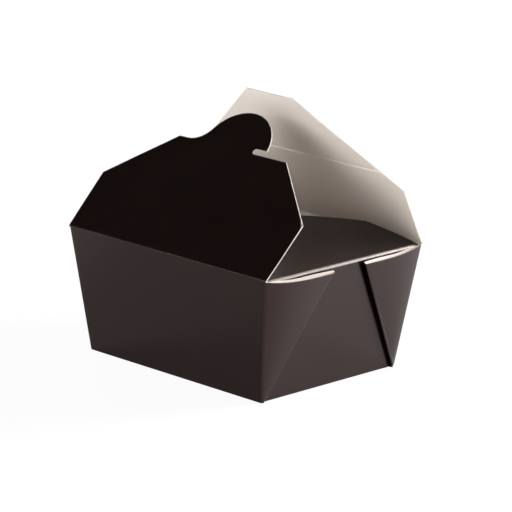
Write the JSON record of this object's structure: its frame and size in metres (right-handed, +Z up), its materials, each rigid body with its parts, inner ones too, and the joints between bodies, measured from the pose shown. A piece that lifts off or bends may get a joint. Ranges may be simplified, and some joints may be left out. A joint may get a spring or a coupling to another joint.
{
  "type": "folding takeaway food box",
  "caption": "Tapered paperboard food box with folded web corners, in-turned end flaps, a hook flap and a slit flap that lock over the top.",
  "frame": {"origin": "centre of the box on the table, in the plane of the base's underside", "axes": "+X along the long walls, -Y towards the wall that carries the hook flap, +Z up"},
  "size_m": [0.1358, 0.1054, 0.1271],
  "materials": {
    "printed_board": "satin",
    "cream_board": "satin"
  },
  "bodies": {
    "carton": {"carton": "printed_board"},
    "tab_flap": {"tab_flap": "printed_board"},
    "slot_flap": {"slot_flap": "cream_board"}
  },
  "joints": [
    {"name": "tab_flap_hinge", "type": "hinge", "parent": "carton", "child": "tab_flap", "pos_m": [0, -0.05253, 0.061], "axis": [-1, 0, 0], "range_deg": [-175, 30]},
    {"name": "slot_flap_hinge", "type": "hinge", "parent": "carton", "child": "slot_flap", "pos_m": [0, 0.05253, 0.061], "axis": [1, 0, 0], "range_deg": [-160, 8]}
  ]
}
